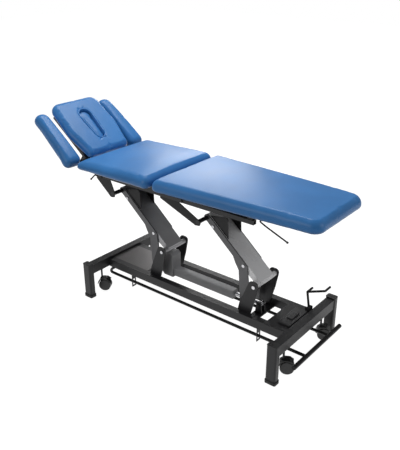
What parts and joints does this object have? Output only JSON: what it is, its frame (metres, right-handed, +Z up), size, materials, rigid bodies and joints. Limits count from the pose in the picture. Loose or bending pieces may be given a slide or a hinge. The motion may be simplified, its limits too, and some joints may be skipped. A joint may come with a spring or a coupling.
{
  "type": "treatment table",
  "caption": "Height-adjustable treatment table: flat mid and tapered leg cushions, raised head section with nose slot and armrests, twin lift arms, foot bar, castors.",
  "frame": {"origin": "on the floor, below the middle of the whole table as it stands at rest", "axes": "+X towards the foot end, +Y across the table away from the side with the leg release lever, +Z up"},
  "size_m": [1.9462, 0.6484, 1.1349],
  "materials": {
    "vinyl": "satin blue coated fabric",
    "frame_paint": "satin anthracite powder coat",
    "arm_paint": "satin grey powder coat",
    "black_paint": "satin black",
    "bright_steel": "turned, zinc plated",
    "castor_black": "black moulded",
    "black_plastic": "black moulded",
    "grey_plastic": "light grey moulded",
    "rubber": "black rubber"
  },
  "bodies": {
    "base": {"side_rails": "frame_paint", "end_cross_members": "frame_paint", "leg_posts": "frame_paint", "leg_caps": "black_plastic", "rubber_feet": "rubber", "lift_brackets": "frame_paint", "pivot_shafts": "bright_steel", "control_box": "black_plastic", "head_end_cover": "frame_paint", "foot_end_cover": "frame_paint", "switch_housing": "black_plastic", "foot_bar_hangers": "frame_paint", "castor_sockets": "frame_paint", "actuator_clevis": "frame_paint", "lever_lugs": "frame_paint"},
    "foot_bar": {"foot_bar": "black_paint"},
    "castor_lever": {"castor_lever": "black_paint"},
    "switch_pedal": {"switch_pedal": "black_plastic"},
    "castor_carrier_head": {"castor_carrier_head": "frame_paint"},
    "castor_carrier_foot": {"castor_carrier_foot": "frame_paint"},
    "head_arm": {"head_arm_channel": "arm_paint", "head_arm_plates": "arm_paint", "head_arm_bolts": "bright_steel", "head_arm_gussets": "black_paint"},
    "foot_arm": {"foot_arm_channel": "arm_paint", "foot_arm_plates": "arm_paint", "foot_arm_bolts": "bright_steel", "foot_arm_gussets": "black_paint"},
    "top_frame": {"frame_rails": "frame_paint", "frame_cross_members": "frame_paint", "frame_struts": "frame_paint", "hinge_plates": "frame_paint", "hinge_pins": "bright_steel", "mid_section_frame": "frame_paint", "mid_cushion": "vinyl"},
    "leg_section": {"leg_section_frame": "frame_paint", "leg_cushion": "vinyl"},
    "head_section": {"head_section_frame": "frame_paint", "head_cushion": "vinyl"},
    "nose_plug": {"nose_plug": "vinyl"},
    "armrest_near": {"armrest_bracket_near": "black_paint", "armrest_cushion_near": "vinyl"},
    "armrest_far": {"armrest_bracket_far": "black_paint", "armrest_cushion_far": "vinyl"},
    "leg_spring_cylinder": {"leg_spring_cylinder": "black_paint"},
    "leg_spring_rod": {"leg_spring_rod": "bright_steel"},
    "head_spring_cylinder": {"head_spring_cylinder": "black_paint"},
    "head_spring_rod": {"head_spring_rod": "bright_steel"},
    "actuator_motor": {"actuator_motor": "grey_plastic"},
    "actuator_rod": {"actuator_rod": "bright_steel"},
    "leg_release_lever": {"leg_release_lever": "black_paint"},
    "head_release_lever": {"head_release_lever": "black_paint"},
    "castor_fork_1": {"castor_fork_1": "castor_black"},
    "castor_wheels_1": {"castor_wheels_1": "castor_black"},
    "castor_fork_2": {"castor_fork_2": "castor_black"},
    "castor_wheels_2": {"castor_wheels_2": "castor_black"},
    "castor_fork_3": {"castor_fork_3": "castor_black"},
    "castor_wheels_3": {"castor_wheels_3": "castor_black"},
    "castor_fork_4": {"castor_fork_4": "castor_black"},
    "castor_wheels_4": {"castor_wheels_4": "castor_black"}
  },
  "joints": [
    {"name": "head_lift", "type": "hinge", "parent": "base", "child": "head_arm", "pos_m": [-0.11205, 0, 0.374], "axis": [0, 1, 0], "range_deg": [-49.7, 12]},
    {"name": "foot_lift", "type": "hinge", "parent": "base", "child": "foot_arm", "pos_m": [0.54395, 0, 0.374], "axis": [0, 1, 0], "range_deg": [-49.7, 12]},
    {"name": "top_level", "type": "hinge", "parent": "head_arm", "child": "top_frame", "pos_m": [-0.45852, 0, 0.67201], "axis": [0, 1, 0], "range_deg": [-12, 49.7]},
    {"name": "actuator_swing", "type": "hinge", "parent": "base", "child": "actuator_rod", "pos_m": [0.52395, 0, 0.215], "axis": [0, 1, 0], "range_deg": [-2, 0.5]},
    {"name": "actuator_stroke", "type": "slide", "parent": "actuator_rod", "child": "actuator_motor", "axis": [-1, 0, 0], "range_m": [-0.1495, 0.0365]},
    {"name": "leg_tilt", "type": "hinge", "parent": "top_frame", "child": "leg_section", "pos_m": [0.07395, 0, 0.829], "axis": [0, -1, 0], "range_deg": [0, 35]},
    {"name": "leg_spring_swing", "type": "hinge", "parent": "top_frame", "child": "leg_spring_cylinder", "pos_m": [0.11595, 0, 0.735], "axis": [0, -1, 0], "range_deg": [0, 33.5]},
    {"name": "leg_spring_stroke", "type": "slide", "parent": "leg_spring_cylinder", "child": "leg_spring_rod", "axis": [0.9671, 0, 0.2545], "range_m": [0, 0.0617]},
    {"name": "head_tilt", "type": "hinge", "parent": "top_frame", "child": "head_section", "pos_m": [-0.64205, 0, 0.829], "axis": [0, 1, 0], "range_deg": [-88, 4]},
    {"name": "head_spring_swing", "type": "hinge", "parent": "top_frame", "child": "head_spring_cylinder", "pos_m": [-0.53005, 0, 0.772], "axis": [0, 1, 0], "range_deg": [-29.4, 1.4]},
    {"name": "head_spring_stroke", "type": "slide", "parent": "head_spring_cylinder", "child": "head_spring_rod", "axis": [-0.9252, 0, 0.3796], "range_m": [-0.0657, 0.003]},
    {"name": "armrest_near_drop", "type": "hinge", "parent": "head_section", "child": "armrest_near", "pos_m": [-0.69906, -0.263, 0.82912], "axis": [0, 1, 0], "range_deg": [-40, 0]},
    {"name": "armrest_far_drop", "type": "hinge", "parent": "head_section", "child": "armrest_far", "pos_m": [-0.69906, 0.263, 0.82912], "axis": [0, 1, 0], "range_deg": [-40, 0]},
    {"name": "nose_plug_lift", "type": "slide", "parent": "head_section", "child": "nose_plug", "axis": [0.6157, 0, 0.788], "range_m": [0, 0.08]},
    {"name": "leg_release", "type": "hinge", "parent": "leg_section", "child": "leg_release_lever", "pos_m": [0.62395, -0.175, 0.815], "axis": [0, -1, 0], "range_deg": [0, 12], "stiffness_Nm_per_rad": 2, "springref_deg": -5.73},
    {"name": "head_release", "type": "hinge", "parent": "top_frame", "child": "head_release_lever", "pos_m": [-0.56605, -0.175, 0.776], "axis": [0, 1, 0], "range_deg": [0, 12], "stiffness_Nm_per_rad": 2, "springref_deg": -5.73},
    {"name": "foot_bar_press", "type": "slide", "parent": "base", "child": "foot_bar", "axis": [0, 0, 1], "range_m": [-0.012, 0.012], "stiffness_N_per_m": 15000, "springref_m": 0.005},
    {"name": "castor_lever_turn", "type": "hinge", "parent": "base", "child": "castor_lever", "pos_m": [0.75995, 0.12, 0.224], "axis": [0, 1, 0], "range_deg": [0, 25]},
    {"name": "castor_lift_head", "type": "slide", "parent": "base", "child": "castor_carrier_head", "axis": [0, 0, -1], "range_m": [0, 0.0141]},
    {"name": "castor_lift_foot", "type": "slide", "parent": "base", "child": "castor_carrier_foot", "axis": [0, 0, -1], "range_m": [0, 0.0141]},
    {"name": "switch_rock", "type": "hinge", "parent": "base", "child": "switch_pedal", "pos_m": [0.73295, 0, 0.214], "axis": [1, 0, 0], "range_deg": [-4, 4], "stiffness_Nm_per_rad": 3},
    {"name": "castor_swivel_1", "type": "hinge", "parent": "castor_carrier_head", "child": "castor_fork_1", "pos_m": [-0.55605, -0.195, 0.1], "axis": [0, 0, 1], "continuous": true},
    {"name": "castor_roll_1", "type": "hinge", "parent": "castor_fork_1", "child": "castor_wheels_1", "pos_m": [-0.53882, -0.18485, 0.044], "axis": [-0.5075, 0.8616, 0], "continuous": true},
    {"name": "castor_swivel_2", "type": "hinge", "parent": "castor_carrier_head", "child": "castor_fork_2", "pos_m": [-0.55605, 0.195, 0.1], "axis": [0, 0, 1], "continuous": true},
    {"name": "castor_roll_2", "type": "hinge", "parent": "castor_fork_2", "child": "castor_wheels_2", "pos_m": [-0.53882, 0.20515, 0.044], "axis": [-0.5075, 0.8616, 0], "continuous": true},
    {"name": "castor_swivel_3", "type": "hinge", "parent": "castor_carrier_foot", "child": "castor_fork_3", "pos_m": [0.80395, -0.195, 0.1], "axis": [0, 0, 1], "continuous": true},
    {"name": "castor_roll_3", "type": "hinge", "parent": "castor_fork_3", "child": "castor_wheels_3", "pos_m": [0.82118, -0.18485, 0.044], "axis": [-0.5075, 0.8616, 0], "continuous": true},
    {"name": "castor_swivel_4", "type": "hinge", "parent": "castor_carrier_foot", "child": "castor_fork_4", "pos_m": [0.80395, 0.195, 0.1], "axis": [0, 0, 1], "continuous": true},
    {"name": "castor_roll_4", "type": "hinge", "parent": "castor_fork_4", "child": "castor_wheels_4", "pos_m": [0.82118, 0.20515, 0.044], "axis": [-0.5075, 0.8616, 0], "continuous": true}
  ],
  "couplings": [
    {"joint": "foot_lift", "follows": "head_lift", "ratio": 1},
    {"joint": "top_level", "follows": "head_lift", "ratio": -1},
    {"joint": "actuator_swing", "follows": "head_lift", "ratio": 0.0397},
    {"joint": "actuator_stroke", "follows": "head_lift", "m_per_rad": 0.1719},
    {"joint": "leg_spring_swing", "follows": "leg_tilt", "ratio": 0.95153},
    {"joint": "leg_spring_stroke", "follows": "leg_tilt", "m_per_rad": 0.10055},
    {"joint": "head_spring_swing", "follows": "head_tilt", "ratio": 0.3271},
    {"joint": "head_spring_stroke", "follows": "head_tilt", "m_per_rad": 0.04269},
    {"joint": "castor_lift_head", "follows": "castor_lever_turn", "m_per_rad": 0.0321},
    {"joint": "castor_lift_foot", "follows": "castor_lever_turn", "m_per_rad": 0.0321}
  ]
}
